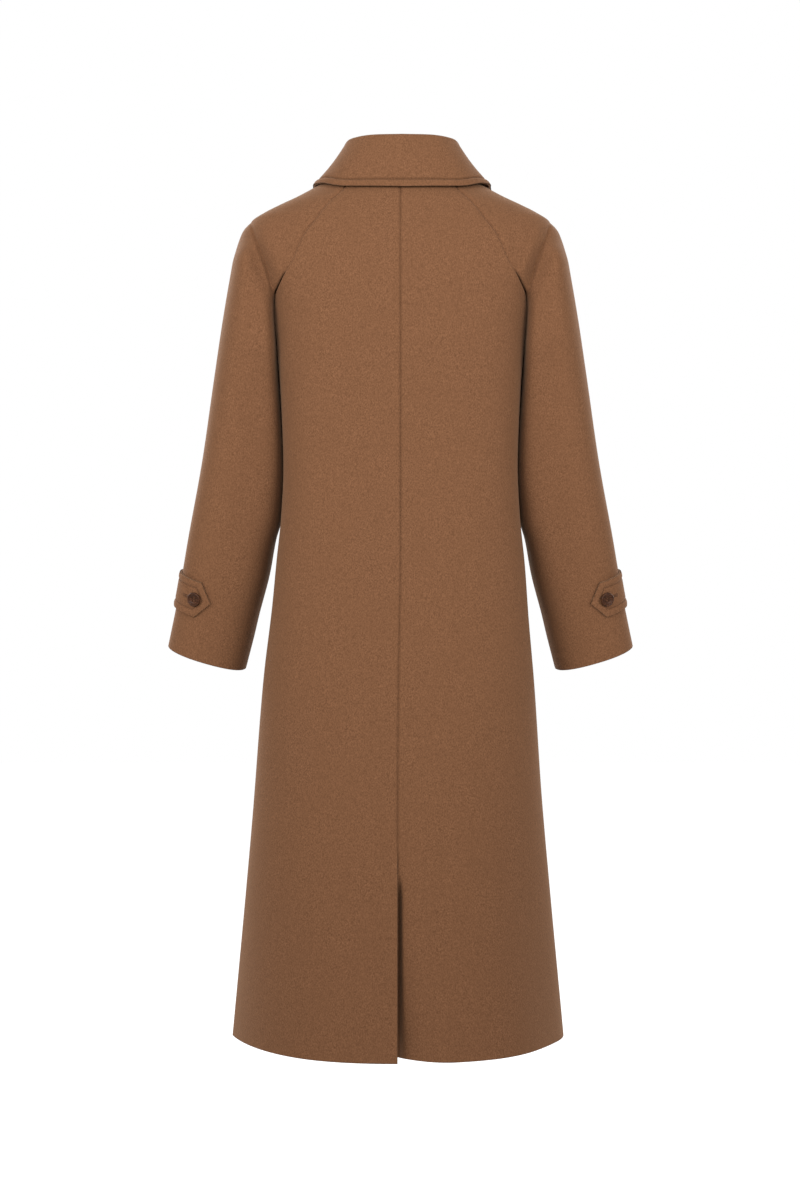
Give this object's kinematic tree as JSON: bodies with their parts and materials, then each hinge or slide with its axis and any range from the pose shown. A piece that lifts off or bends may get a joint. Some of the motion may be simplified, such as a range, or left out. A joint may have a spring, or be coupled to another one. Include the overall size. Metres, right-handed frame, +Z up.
{
  "type": "wool overcoat",
  "caption": "Long A-line wool overcoat with raglan sleeves, turned-down collar, buttoned sleeve tabs and a centre-back vent, filled out as worn with no wearer",
  "frame": {"origin": "midway between the high points of the two shoulder seams at the neck, at the height where the wearer's shoulders carry the coat", "axes": "Z up; Y from the wearer's front to the back, so the wearer faces -Y; X toward the wearer's left"},
  "size_m": [0.6376, 0.385, 1.2016],
  "materials": {
    "back_left": "matte napped wool",
    "back_right": "matte napped wool",
    "front_left": "matte napped wool",
    "front_right": "matte napped wool",
    "sleeve_left_back": "matte napped wool",
    "sleeve_left_front": "matte napped wool",
    "sleeve_right_back": "matte napped wool",
    "sleeve_right_front": "matte napped wool",
    "tab_left": "matte napped wool",
    "tab_right": "matte napped wool",
    "collar_stand": "matte napped wool",
    "collar_leaf": "matte napped wool",
    "tab_button_left": "polished dark horn",
    "tab_button_right": "polished dark horn",
    "front_button_1": "polished dark horn",
    "front_button_2": "polished dark horn",
    "front_button_3": "polished dark horn",
    "front_button_4": "polished dark horn"
  },
  "bodies": {
    "root": {"back_left": "back_left", "back_right": "back_right", "front_left": "front_left", "front_right": "front_right", "sleeve_left_back": "sleeve_left_back", "sleeve_left_front": "sleeve_left_front", "sleeve_right_back": "sleeve_right_back", "sleeve_right_front": "sleeve_right_front", "tab_left": "tab_left", "tab_right": "tab_right", "collar_stand": "collar_stand", "collar_leaf": "collar_leaf", "tab_button_left": "tab_button_left", "tab_button_right": "tab_button_right", "front_button_1": "front_button_1", "front_button_2": "front_button_2", "front_button_3": "front_button_3", "front_button_4": "front_button_4"}
  },
  "joints": []
}
